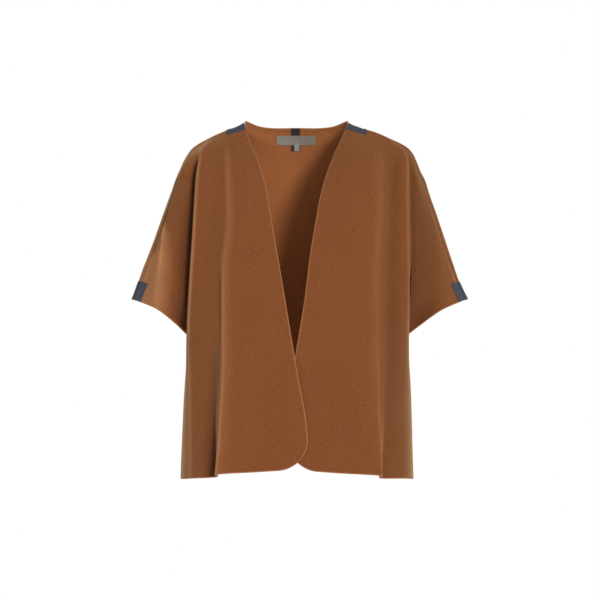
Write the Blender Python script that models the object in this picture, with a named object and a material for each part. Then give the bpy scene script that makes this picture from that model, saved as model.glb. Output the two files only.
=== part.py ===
"""Open-front fleece vest with short sleeves cut in one with the fronts and back, hollow as it is worn.

Metres, +Z up. The fronts face -Y, the wearer's right is at -X, and the origin lies between the two
neck points, where the shoulders carry the garment. The whole coat is one ring of cloth: columns run
from a front edge, over the chest, into the armhole fold, over the sleeve and round to the centre of
the back. Rows run from the shoulder down to the hem. The ring is worked out from a few named lines,
then parted along its seams into two fronts and a back, and each is given its thickness.
"""
import math

import bmesh
import bpy
from mathutils import Vector
from mathutils.bvhtree import BVHTree

MM = 0.001
CLOTH = 2.4 * MM  # felted fleece, raw cut edges
TAPE = 1.0 * MM  # woven tape
LABEL = 0.8 * MM  # folded satin
GAP = 0.3 * MM  # between one piece and the next
SEAM_SPARE = 0.02 * MM  # added to each side of that gap, where a seam turns
TAPE_LIFT = 0.45 * MM  # under a tape that crosses a bend, and under what lies on a tape
STRIP_STEP = 5 * MM  # a strip on the curved inner back has a row this often
SHARP_EDGE = 50  # degrees; rounder edges are shaded smooth

# Columns of the half ring, from the front edge (0) round to the centre back.
CHEST, RIDGE, DIP, FOLD, SEAM = 4, 7, 9, 12, 14
SLEEVE, OVERARM, SLEEVE_BACK, FOLD_BACK = 17, 20, 23, 26
BLADE, DIP_BACK, RIDGE_BACK, NECK, CENTRE = 28, 31, 33, 40, 44
# Rows, from the shoulder (0) to the underarm and on to the hem.
UNDERARM, HEM = 16, 24
ROW_EASE = 1.15  # rows lie closer together over the shoulder
LINE_STEPS = 12  # points of a dense line between two of the points that it runs through

UNDERARM_UP = -402
CORNER = 72 * MM  # radius of the round front corners

# The shoulder and overarm seam: millimetres up from the neck point, forward of the shoulder line,
# and out from the middle on the wearer's right and left.
SHOULDER_SEAM = (
    # up, forward, out right, out left
    (-2, 0, 98, 97),
    (-15, 0, 139, 147),
    (-27, 0, 165, 175),
    (-48, 2, 198, 213),
    (-82, 5, 218.5, 232.5),
    (-150, 8, 240.5, 254.5),
    (-218, 9, 266, 277),
    (-287, 9, 292, 300),
    (-332, 8, 308.5, 321),
)
ARMHOLE_TOP = {"right": 0.205, "left": 0.225}  # where the armhole fold starts, as a share of that seam
SLEEVE_TOP = {"right": 0.255, "left": 0.275}  # where the sleeve's own columns end
CREST = 0.6  # how far the shoulder is a crest and not a round, 0 to 1
EDGE_SHARE = 0.2  # the columns beside the overarm seam lie this near to it
ROLL_OUT, ROLL_BACK = 4, 9  # the sleeve's edge rolls this far out and back past its seam
ROLL_ROWS = (1, 5)  # the rows over which that roll starts
CLOSING = (0.62 * UNDERARM, UNDERARM)  # the rows over which the body closes beside the sleeve

# The back neckline behind the neck point, as (up, forward, out).
NECKLINE = (
    (11, -7, 99),
    (9.5, -17, 93),
    (2, -42, 69),
    (-3.5, -55, 44),
    (-4, -62, 0),
)

# Lines down each front, as (up, forward, out) in millimetres. Each starts on the shoulder seam.
FRONT_LINES = {
    "right": {
        0: (
            (-34, 34, 88), (-67, 62, 73.5), (-116, 93, 58.4), (-192, 123, 45), (-295, 141, 27),
            (UNDERARM_UP, 148, 9.3), (-484, 151, -4.8), (-537, 152, -15), (-589, 153, -21),
            (-651, 154, -21.5),
        ),
        CHEST: (
            (-60, 62, 103), (-114, 94, 98), (-190, 122, 90), (-290, 137, 85),
            (UNDERARM_UP, 143, 77), (-540, 147, 69), (-656, 151, 73),
        ),
        RIDGE: (
            (-60, 56, 133), (-116, 88, 131), (-190, 114, 130), (-265, 126, 138),
            (UNDERARM_UP, 134, 144), (-540, 142, 148), (-660, 150, 152),
        ),
        DIP: (
            (-60, 48, 156), (-114, 77, 156), (-190, 98, 156), (-265, 109, 157),
            (UNDERARM_UP, 117, 156), (-540, 120, 154), (-665, 124, 149),
        ),
        FOLD: (
            (-50, 36, 178), (-87, 58, 185), (-151, 80, 191), (-214, 88, 197), (-290, 88, 200.5),
            (UNDERARM_UP, 76, 206.5), (-540, 78, 201), (-669, 90, 200),
        ),
        SEAM: (
            (-60, 34, 188), (-86, 45, 188), (-150, 43, 186), (-213, 38, 188), (-290, 30, 192),
            (UNDERARM_UP, 12, 204.5), (-480, 8, 209.5), (-540, 6, 212.5), (-672, 4, 218),
        ),
        SLEEVE: (
            (-60, 15, 203), (-88, 19, 216), (-145, 24, 235.5), (-209, 33, 251), (-277, 41, 257),
            (-351, 46, 263),
        ),
    },
    "left": {
        0: (
            (-31, 32, 83), (-66, 60, 67.5), (-97, 81, 56), (-140, 102, 44), (-182, 116, 36.3),
            (-248, 130, 25.3), (-329, 138, 15.2), (UNDERARM_UP, 141, 3.5), (-440, 142, -2.9),
            (-530, 144, -12), (-589, 146, -15.2), (-653, 147, -16),
        ),
        CHEST: (
            (-60, 62, 104), (-114, 94, 101), (-190, 120, 97), (-290, 134, 87),
            (UNDERARM_UP, 139, 77), (-540, 142, 71), (-661, 146, 74),
        ),
        RIDGE: (
            (-62, 46, 160), (-114, 82, 159), (-171, 105, 159), (-218, 114, 154.5),
            (-313, 124, 152), (UNDERARM_UP, 129, 152), (-540, 136, 155), (-663, 144, 160),
        ),
        DIP: (
            (-62, 36, 182), (-114, 69, 180), (-171, 91, 179), (-218, 100, 177), (-313, 109, 173),
            (UNDERARM_UP, 114, 172), (-540, 120, 169), (-667, 130, 156),
        ),
        FOLD: (
            (-50, 24, 203), (-71, 42, 209), (-104, 58, 209.5), (-161, 76, 209.5), (-233, 85, 211.5),
            (-328, 84, 213), (UNDERARM_UP, 76, 211.5), (-540, 77, 206), (-669, 90, 202),
        ),
        SEAM: (
            (-60, 26, 209), (-104, 44, 211), (-161, 48, 209), (-233, 44, 206), (-328, 30, 205),
            (UNDERARM_UP, 12, 207.5), (-480, 8, 212.5), (-540, 6, 214.5), (-672, 4, 219),
        ),
        SLEEVE: (
            (-60, 14, 217), (-88, 18, 229), (-145, 25, 247), (-209, 34, 262), (-277, 41, 269),
            (-353, 46, 273),
        ),
    },
}

# The same down the back; forward is negative behind the shoulder line. The folds on the wearer's
# left lie a little farther out and shallower.
BACK_FOLD_SHIFT = {"right": (0, 0), "left": (6, 9)}  # (forward, out)
BACK_LINES = {
    SLEEVE_BACK: (
        (-60, -14, 208), (-88, -22, 219), (-145, -34, 240), (-209, -42, 256), (-277, -46, 264),
        (-346, -48, 268),
    ),
    FOLD_BACK: (
        (-60, -30, 197), (-104, -44, 197), (-161, -46, 196), (-233, -42, 196), (-310, -28, 198),
        (UNDERARM_UP, 12, 205),
    ),
    BLADE: (
        (-60, -38, 187), (-104, -62, 192), (-161, -80, 197), (-233, -88, 201), (-310, -84, 203),
        (UNDERARM_UP, -64, 203), (-540, -72, 199), (-667, -84, 197),
    ),
    DIP_BACK: (
        (-60, -54, 152), (-114, -84, 152), (-190, -100, 152), (-290, -104, 154),
        (UNDERARM_UP, -100, 156), (-540, -98, 154), (-661, -98, 148),
    ),
    RIDGE_BACK: (
        (-60, -64, 122), (-114, -94, 120), (-190, -114, 120), (-290, -120, 124),
        (UNDERARM_UP, -118, 128), (-540, -124, 134), (-655, -132, 140),
    ),
    NECK: (
        (-50, -72, 70), (-114, -104, 54), (-190, -120, 50), (-290, -122, 50),
        (UNDERARM_UP, -115, 50), (-540, -117, 52), (-648, -122, 54),
    ),
    CENTRE: (
        (-60, -88, 0), (-114, -106, 0), (-190, -117, 0), (-290, -118, 0),
        (UNDERARM_UP, -110, 0), (-540, -108, 0), (-646, -112, 0),
    ),
}

# Trimmings.
SHOULDER_TAPE_LONG, SHOULDER_TAPE_HALF = 37 * MM, 15 * MM
CUFF_TAPE_LONG, CUFF_TAPE_FRONT, CUFF_TAPE_BACK = 38 * MM, 17 * MM, 15 * MM
CUFF_TAPE_ROWS = 4  # rows of the ring, up from the cuff, that the cuff tape is laid out on
NECK_TAPE_X, NECK_TAPE_Z = (-10.4 * MM, 6.8 * MM), (-48 * MM, -6 * MM)
LABEL_X, LABEL_Z = (-38.2 * MM, 36.9 * MM), (-36.5 * MM, -18.3 * MM)
SIZE_TAB_X, SIZE_TAB_Z = (-4.2 * MM, 5.5 * MM), (-47.5 * MM, -32.0 * MM)

SIDES = {"right": -1, "left": 1}
PANELS = {"back": "back", "right": "front_right", "left": "front_left"}


# ---------------------------------------------------------------- curves

def place(side, up, forward, out):
    return Vector((SIDES[side] * out, -forward, up)) * MM


def spline_point(p0, p1, p2, p3, share):
    """A point on the centripetal Catmull-Rom curve from p1 to p2."""
    knots = [0.0]
    for a, b in ((p0, p1), (p1, p2), (p2, p3)):
        knots.append(knots[-1] + max((b - a).length, 1e-7) ** 0.5)
    t0, t1, t2, t3 = knots
    t = t1 + share * (t2 - t1)

    def mix(a, b, ta, tb):
        return a * ((tb - t) / (tb - ta)) + b * ((t - ta) / (tb - ta))

    a1, a2, a3 = mix(p0, p1, t0, t1), mix(p1, p2, t1, t2), mix(p2, p3, t2, t3)
    return mix(mix(a1, a2, t0, t2), mix(a2, a3, t1, t3), t1, t2)


def smooth_line(points, before=None, after=None, steps=LINE_STEPS):
    """A dense smooth line through the points, with the place in it of each point."""
    before = before or points[0] * 2 - points[1]
    after = after or points[-1] * 2 - points[-2]
    full = [before, *points, after]
    line = []
    for i in range(1, len(full) - 2):
        line += [spline_point(*full[i - 1:i + 3], k / steps) for k in range(steps)]
    return line + [points[-1]], [i * steps for i in range(len(points))]


def spaced(line, shares):
    """Points along a dense line at the given shares of its length."""
    lengths = [0.0]
    for a, b in zip(line, line[1:]):
        lengths.append(lengths[-1] + (b - a).length)
    found = []
    k = 0
    for share in shares:
        want = share * lengths[-1]
        while k < len(line) - 2 and lengths[k + 1] < want:
            k += 1
        span = lengths[k + 1] - lengths[k]
        found.append(line[k].lerp(line[k + 1], min(1.0, (want - lengths[k]) / span)))
    return found


# ---------------------------------------------------------------- the ring of cloth

def seam_shares(side):
    """Where each column from the neck point to the overarm crosses the shoulder seam."""
    armhole, sleeve = ARMHOLE_TOP[side], SLEEVE_TOP[side]
    shares = [armhole * c / SEAM for c in range(SEAM)]
    across = OVERARM - SEAM
    return shares + [armhole + (sleeve - armhole) * c / across for c in range(across + 1)]


def shoulder_seam(side):
    column = 2 if side == "right" else 3
    knots = [place(side, row[0], row[1], row[column]) for row in SHOULDER_SEAM]
    return smooth_line(knots)[0]


def upper_shares():
    """How far down to the underarm each row lies, as shares."""
    return [(j / UNDERARM) ** ROW_EASE for j in range(UNDERARM + 1)]


def drop(side, top, rows):
    """One column's points: from its top, down through the table's rows, to the underarm and hem."""
    knots = [top] + [place(side, *row) for row in rows]
    behind = 2 * top - knots[1]
    behind.x = knots[1].x
    behind.z = knots[1].z + CREST * (behind.z - knots[1].z)
    line, at = smooth_line(knots, before=behind)
    levels = [row[0] for row in rows]
    if UNDERARM_UP not in levels:
        return spaced(line, upper_shares())
    turn = at[1 + levels.index(UNDERARM_UP)]
    upper = spaced(line[:turn + 1], upper_shares())
    if turn == at[-1]:
        return upper
    lower = spaced(line[turn:], [j / (HEM - UNDERARM) for j in range(HEM - UNDERARM + 1)])
    return upper + lower[1:]


def ring_lines(side):
    """Every named line of the half ring, as {column: points by row}."""
    seam = shoulder_seam(side)
    shares = seam_shares(side)
    tops = spaced(seam, shares)
    lines = {}
    for column, rows in FRONT_LINES[side].items():
        lines[column] = drop(side, tops[column], rows)
    start = shares[-1]
    lines[OVERARM] = spaced(seam, [start + (1 - start) * share for share in upper_shares()])
    for column, rows in BACK_LINES.items():
        if column <= NECK:
            top = tops[2 * OVERARM - column]
        else:
            top = place(side, *NECKLINE[-1])
        if column in (DIP_BACK, RIDGE_BACK):
            forward, out = BACK_FOLD_SHIFT[side]
            rows = [(row[0], row[1] + forward, row[2] + out) for row in rows]
        lines[column] = drop(side, top, rows)
    edge = lines[OVERARM]
    lines[OVERARM - 1] = [p.lerp(q, EDGE_SHARE) for p, q in zip(edge, lines[SLEEVE])]
    lines[OVERARM + 1] = []
    for row, (p, q) in enumerate(zip(edge, lines[SLEEVE_BACK])):
        rolled = p + Vector((SIDES[side] * ROLL_OUT, ROLL_BACK, 0)) * MM
        lines[OVERARM + 1].append(p.lerp(q, EDGE_SHARE).lerp(rolled, smoothstep(*ROLL_ROWS, row)))
    return lines, tops


def across(guides, columns, far):
    """Points at the columns of one row, on a smooth curve through that row's guide points.

    The far point lies past the centre of the back, and turns the curve level there.
    """
    order = sorted(guides)
    points = [guides[c] for c in order]
    full = [points[0] * 2 - points[1], *points, far]
    found = {}
    for i, (start, end) in enumerate(zip(order, order[1:])):
        for c in range(start, end + 1):
            found[c] = spline_point(*full[i:i + 4], (c - start) / (end - start))
    return {c: found[c] for c in columns}


def smoothstep(low, high, x):
    """0 up to low, 1 from high on, and eased between them."""
    t = min(1.0, max(0.0, (x - low) / (high - low)))
    return t * t * (3 - 2 * t)


def half_ring(side):
    """{(row, column): point} for one side, from the front edge to the centre back."""
    lines, tops = ring_lines(side)
    columns = range(CENTRE + 1)
    body = [c for c in columns if c <= SEAM or c >= FOLD_BACK]
    points = {}
    for row in range(HEM + 1):
        guides = {c: line[row] for c, line in lines.items() if row < len(line)}
        far = guides[NECK].copy()
        far.x = -far.x
        found = {}
        if row <= UNDERARM:
            found = across(guides, columns, far)
        torso = {c: p for c, p in guides.items() if c <= SEAM or c >= FOLD_BACK}
        if row >= UNDERARM:
            torso.pop(FOLD_BACK, None)
        round_side = across(torso, [c for c in body if c in found or row > UNDERARM], far)
        blend = smoothstep(*CLOSING, row)
        for c, p in round_side.items():
            found[c] = found[c].lerp(p, blend) if c in found else p
        for c, p in found.items():
            points[row, c] = p
    for c, top in enumerate(tops):
        points[0, c] = top
    neckline = smooth_line([tops[0]] + [place(side, *row) for row in NECKLINE],
                           after=place(side, *NECKLINE[-2]) * Vector((-1, 1, 1)))[0]
    steps = CENTRE - NECK
    for c, p in enumerate(spaced(neckline, [c / steps for c in range(steps + 1)])):
        points[0, NECK + c] = p
    round_corner(points)
    return points


def round_corner(points):
    """Rounds the front's lower corner: a square patch of the cloth is eased into a quarter disc."""
    corner = points[HEM, 0].copy()
    inwards = (points[HEM, CHEST] - corner).normalized()
    upwards = (points[HEM - 1, 0] - corner).normalized()
    for (row, c), p in list(points.items()):
        if c > CHEST or row <= UNDERARM:
            continue
        a, b = (p - corner).dot(inwards), (p - corner).dot(upwards)
        if a < CORNER and b < CORNER:
            u, v = 1 - a / CORNER, 1 - b / CORNER
            u, v = max(u, 0.0), max(v, 0.0)
            shift_in = (u - u * math.sqrt(1 - v * v / 2)) * CORNER
            shift_up = (v - v * math.sqrt(1 - u * u / 2)) * CORNER
            points[row, c] = p + inwards * shift_in + upwards * shift_up


def key_of(side, row, c):
    """The one name of a ring point: seam columns and the centre back are shared."""
    if row == 0 and OVERARM < c <= 2 * OVERARM:
        c = 2 * OVERARM - c
    if row >= UNDERARM and c == FOLD_BACK:
        c = SEAM
    if c == CENTRE:
        side = "centre"
    return side, row, c


def cloth_ring():
    """The whole middle surface as one mesh: (bmesh, panel of each face, key of each vertex)."""
    bm = bmesh.new()
    panel_layer = bm.faces.layers.int.new("panel")
    verts = {}
    for side, sign in SIDES.items():
        points = half_ring(side)
        for (row, c), p in points.items():
            key = key_of(side, row, c)
            if key not in verts and (row <= UNDERARM or c <= SEAM or c > FOLD_BACK):
                verts[key] = bm.verts.new(p)
        for row in range(HEM):
            for c in range(CENTRE):
                if row >= UNDERARM and SEAM <= c < FOLD_BACK:
                    continue
                corners = ((row, c), (row, c + 1), (row + 1, c + 1), (row + 1, c))
                quad = [verts[key_of(side, r, k)] for r, k in corners]
                face = bm.faces.new(quad[::-1] if sign > 0 else quad)
                face[panel_layer] = list(PANELS).index(panel_name(side, c))
    bm.normal_update()
    return bm, panel_layer, verts


def panel_name(side, c):
    return "back" if c >= OVERARM else side


# ---------------------------------------------------------------- walls

def seam_pull(vert, inside):
    """How far a point of a panel's seam moves into the panel, clear of the next one."""
    own = [f for f in vert.link_faces if f in inside]
    if len(own) == len(vert.link_faces):
        return Vector()
    pull = sum((f.calc_center_median() for f in own), Vector()) / len(own) - vert.co
    pull -= vert.normal * pull.dot(vert.normal)
    rim = [e.other_vert(vert).co for e in vert.link_edges
           if len({f in inside for f in e.link_faces}) == 2]
    if len(rim) > 1:
        along = (rim[0] - rim[-1]).normalized()
        pull -= along * pull.dot(along)
    return pull.normalized() * (GAP / 2 + SEAM_SPARE)


def wall(name, faces, thickness, material):
    """A closed wall round the given middle faces."""
    inside = set(faces)
    bm = bmesh.new()
    outer, inner = {}, {}
    for vert in {v for f in faces for v in f.verts}:
        middle = vert.co + seam_pull(vert, inside)
        outer[vert] = bm.verts.new(middle + vert.normal * thickness / 2)
        inner[vert] = bm.verts.new(middle - vert.normal * thickness / 2)
    for face in faces:
        corners = list(face.verts)
        bm.faces.new([outer[v] for v in corners])
        bm.faces.new([inner[v] for v in reversed(corners)])
        for loop in face.loops:
            if sum(f in inside for f in loop.edge.link_faces) == 1:
                a, b = loop.vert, loop.link_loop_next.vert
                bm.faces.new((outer[b], outer[a], inner[a], inner[b]))
    return finish(name, bm, material)


def finish(name, bm, material):
    bmesh.ops.triangulate(bm, faces=bm.faces[:], quad_method="SHORT_EDGE")
    mesh = bpy.data.meshes.new(name)
    bm.to_mesh(mesh)
    bm.free()
    mesh.materials.append(material)
    mesh.shade_smooth()
    mesh.set_sharp_from_angle(angle=math.radians(SHARP_EDGE))
    piece = bpy.data.objects.new(name, mesh)
    bpy.context.scene.collection.objects.link(piece)
    return piece


def slab(name, rows, thickness, material):
    """A closed strip from a grid of (point, normal), lying on the point and rising along the normal."""
    bm = bmesh.new()
    low = [[bm.verts.new(p) for p, _ in row] for row in rows]
    high = [[bm.verts.new(p + n * thickness) for p, n in row] for row in rows]
    last_row, last = len(rows) - 1, len(rows[0]) - 1
    for i in range(last_row):
        for k in range(last):
            bm.faces.new((high[i][k], high[i][k + 1], high[i + 1][k + 1], high[i + 1][k]))
            bm.faces.new((low[i + 1][k], low[i + 1][k + 1], low[i][k + 1], low[i][k]))
    rim = [(0, k) for k in range(last)] + [(i, last) for i in range(last_row)]
    rim += [(last_row, k) for k in range(last, 0, -1)] + [(i, 0) for i in range(last_row, 0, -1)]
    for a, b in zip(rim, rim[1:] + rim[:1]):
        bm.faces.new((high[b[0]][b[1]], high[a[0]][a[1]], low[a[0]][a[1]], low[b[0]][b[1]]))
    bmesh.ops.recalc_face_normals(bm, faces=bm.faces[:])
    if bm.calc_volume(signed=True) < 0:
        bmesh.ops.reverse_faces(bm, faces=bm.faces[:])
    return finish(name, bm, material)


# ---------------------------------------------------------------- trimmings

def walk(path, reach):
    """(point, normal) at each vertex of the path nearer than the reach, and at the reach itself."""
    found = []
    for here, there in zip(path, path[1:]):
        step = (there.co - here.co).length
        if reach <= step:
            share = reach / step
            return found + [(here.co.lerp(there.co, share), here.normal.lerp(there.normal, share))]
        reach -= step
        found.append((there.co.copy(), there.normal.copy()))
    return found


def seam_strip(spots, front, back):
    """Rows of (point, normal) on the outer cloth, across the seam at each spot.

    A spot is two paths of vertices from the seam, one over the front and one over the back.
    """
    rows = []
    for ahead, behind in spots:
        seam = ahead[0]
        row = walk(ahead, front)[::-1] + [(seam.co.copy(), seam.normal.copy())] + walk(behind, back)
        rows.append([(p + n.normalized() * (CLOTH / 2 + TAPE_LIFT), n.normalized()) for p, n in row])
    return rows


def cut_to_length(rows, length):
    """The rows up to a length along the strip's middle."""
    kept = [rows[0]]
    run = 0.0
    for before, now in zip(rows, rows[1:]):
        step = (now[len(now) // 2][0] - before[len(now) // 2][0]).length
        if run + step >= length:
            share = (length - run) / step
            kept.append([(a[0].lerp(b[0], share), a[1].lerp(b[1], share).normalized())
                         for a, b in zip(before, now)])
            return kept
        run += step
        kept.append(now)
    return kept


def shoulder_tape(verts, side, material):
    spots = []
    for c in range(SEAM):
        ahead = [verts[key_of(side, row, c)] for row in (0, 1)]
        behind = [verts[key_of(side, row, 2 * OVERARM - c)] for row in (0, 1)]
        spots.append((ahead, behind))
    rows = seam_strip(spots, SHOULDER_TAPE_HALF, SHOULDER_TAPE_HALF)
    return slab("shoulder_tape_" + side, cut_to_length(rows, SHOULDER_TAPE_LONG), TAPE, material)


def cuff_tape(verts, side, material):
    spots = []
    for row in range(UNDERARM, UNDERARM - CUFF_TAPE_ROWS, -1):
        ahead = [verts[key_of(side, row, c)] for c in range(OVERARM, SLEEVE - 1, -1)]
        behind = [verts[key_of(side, row, c)] for c in range(OVERARM, SLEEVE_BACK + 1)]
        spots.append((ahead, behind))
    rows = seam_strip(spots, CUFF_TAPE_FRONT, CUFF_TAPE_BACK)
    return slab("cuff_tape_" + side, cut_to_length(rows, CUFF_TAPE_LONG), TAPE, material)


def on_back(tree, x, z, lift):
    """A point lifted off the back's inner face, and the way it was lifted, straight to the front."""
    point, normal, _, _ = tree.ray_cast(Vector((x, 0, z)), Vector((0, 1, 0)))
    forward = Vector((0, -1, 0)) / abs(normal.y)
    return point + forward * lift, forward


def inside_strip(name, tree, x_ends, z_ends, lift, thickness, material):
    """A strip on the back's inner face, between two places across and two up the garment."""
    xs, zs = evenly(*x_ends), evenly(*reversed(z_ends))
    return slab(name, [[on_back(tree, x, z, lift) for x in xs] for z in zs], thickness, material)


def evenly(start, end):
    steps = math.ceil(abs(end - start) / STRIP_STEP)
    return [start + (end - start) * k / steps for k in range(steps + 1)]


# ---------------------------------------------------------------- materials

def material(name, colour, roughness):
    made = bpy.data.materials.new(name)
    made.use_nodes = True
    shader = made.node_tree.nodes["Principled BSDF"]
    shader.inputs["Base Color"].default_value = (*colour, 1)
    shader.inputs["Roughness"].default_value = roughness
    shader.inputs["Metallic"].default_value = 0
    return made


def main():
    for obj in list(bpy.data.objects):
        bpy.data.objects.remove(obj, do_unlink=True)
    fleece = material("camel fleece", (0.242, 0.087, 0.030), 0.95)
    slate = material("slate tape", (0.065, 0.065, 0.080), 0.85)
    satin = material("grey satin", (0.18, 0.16, 0.13), 0.45)
    white = material("white satin", (0.55, 0.54, 0.52), 0.5)

    ring, panel_layer, verts = cloth_ring()
    for number, name in enumerate(PANELS.values()):
        faces = [f for f in ring.faces if f[panel_layer] == number]
        wall(name, faces, CLOTH, fleece)
    for side in SIDES:
        shoulder_tape(verts, side, slate)
        cuff_tape(verts, side, slate)

    back = bmesh.new()
    back.from_mesh(bpy.data.objects["back"].data)
    tree = BVHTree.FromBMesh(back)
    inside_strip("neck_tape", tree, NECK_TAPE_X, NECK_TAPE_Z, GAP, TAPE, slate)
    over_tape = GAP + TAPE + TAPE_LIFT
    inside_strip("neck_label", tree, LABEL_X, LABEL_Z, over_tape, LABEL, satin)
    over_label = over_tape + LABEL + TAPE_LIFT
    inside_strip("size_tab", tree, SIZE_TAB_X, SIZE_TAB_Z, over_label, LABEL, white)
    back.free()
    ring.free()


main()
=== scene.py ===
"""Looks of an open-front vest of felted fleece, worn and hollow, with short sleeves cut in one.

The cloth is worked out again as one fine ring from the same lines as its solids. Columns run from a
front edge over the chest, into the armhole fold, over the sleeve and round to the centre back, and
rows run from the shoulder to the hem. The ring is parted into two fronts and a back. Each is a thin
shell with a rounded raw edge, and the fronts lap over the back at the seams.
"""
import math

import bmesh
import bpy
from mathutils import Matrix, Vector, kdtree, noise
from mathutils.bvhtree import BVHTree


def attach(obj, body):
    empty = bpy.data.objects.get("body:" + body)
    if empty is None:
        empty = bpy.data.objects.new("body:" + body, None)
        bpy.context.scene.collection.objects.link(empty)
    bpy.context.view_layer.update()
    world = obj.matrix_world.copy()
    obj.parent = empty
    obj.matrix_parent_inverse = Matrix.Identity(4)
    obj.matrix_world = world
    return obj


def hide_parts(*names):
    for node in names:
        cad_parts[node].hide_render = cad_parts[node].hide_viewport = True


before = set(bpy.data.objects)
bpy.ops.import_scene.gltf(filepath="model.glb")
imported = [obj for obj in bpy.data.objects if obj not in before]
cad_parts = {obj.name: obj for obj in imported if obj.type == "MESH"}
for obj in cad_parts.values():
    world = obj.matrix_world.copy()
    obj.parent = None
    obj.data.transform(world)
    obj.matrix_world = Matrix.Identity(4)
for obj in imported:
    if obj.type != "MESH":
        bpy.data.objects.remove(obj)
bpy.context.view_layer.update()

MM = 0.001

# ---------------------------------------------------------------- sizes

CLOTH = 2.2 * MM  # felted fleece
EDGE_ROUND = 0.55 * MM  # how far the raw cut edge stands out in its middle
LAP = 2.5 * MM  # how far the fronts lie above the back at a lapped seam
LAP_FADE = 15 * MM  # over what width they come level
SEAM_GAP = 0.1 * MM  # between the cut edges of two panels that meet
RIM_TURNS = (0.2, 0.4, 0.6, 0.8)  # places round a cut edge, from the outer face to the inner
FREE_EDGE = 20 * MM  # how far from a cut edge its distance is still painted on the cloth

FINE = 6  # fine rows and columns for each one of the solids
# Columns of the half ring, from the front edge (0) round to the centre back.
CHEST, RIDGE, DIP, FOLD, SEAM = (FINE * n for n in (4, 7, 9, 12, 14))
SLEEVE, OVERARM, SLEEVE_BACK, FOLD_BACK = (FINE * n for n in (17, 20, 23, 26))
BLADE, DIP_BACK, RIDGE_BACK, NECK, CENTRE = (FINE * n for n in (28, 31, 33, 40, 44))
# Rows, from the shoulder (0) to the underarm and on to the hem.
UNDERARM, HEM = FINE * 16, FINE * 24
ROW_EASE = 1.15  # over 1 packs the rows a little closer near the shoulder
SHOULDER_UNDER = 2  # rows of the back that run on under the fronts at the shoulder
LINE_STEPS = 40  # points between two knots of a dense line

UNDERARM_UP = -402  # millimetres up from the neck point
CORNER = 54 * MM  # radius of the round front corners

# The shoulder and overarm seam: millimetres up from the neck point, forward of the shoulder line,
# and out from the middle on the wearer's right and left.
SHOULDER_SEAM = (
    # up, forward, out right, out left
    (2, 0, 98, 97),
    (-4.5, 0, 111, 110),
    (-15, 0, 139, 147),
    (-27, 0, 165, 175),
    (-48, 2, 198, 213),
    (-82, 9, 216, 230.5),
    (-150, 18, 235, 249.5),
    (-218, 20, 260, 271.5),
    (-287, 16, 287.5, 296),
    (-332, 9, 307.5, 320),
)
# Where the armhole fold starts and the sleeve's own columns end, as shares of that seam.
ARMHOLE_TOP = {"right": 0.205, "left": 0.225}
SLEEVE_TOP = {"right": 0.255, "left": 0.275}
CREST = 0.6  # how far the shoulder is a crest and not a round, 0 to 1
EDGE_SHARE = 0.2  # how far out the columns beside the overarm seam lie, as a share of the sleeve's
# The sleeve's edge rolls this far out and back past its seam, by row.
ROLL = ((0, 0, 0), (1.5 * FINE, 1, 4), (5 * FINE, 6, 12), (8 * FINE, 9, 18), (12.5 * FINE, 9, 18),
        (UNDERARM, 4.5, 10))
CLOSING = (0.62 * UNDERARM, UNDERARM)  # the rows over which the body closes beside the sleeve

NECK_EASE = 3 * FINE  # how many rows below the back neckline follow it
# The back neckline behind the neck point, as (up, forward, out).
NECKLINE = (
    (8, -8, 97.5),
    (5.5, -18, 90.5),
    (-2, -42, 69),
    (-4.5, -55, 44),
    (-4, -62, 0),
)

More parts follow.
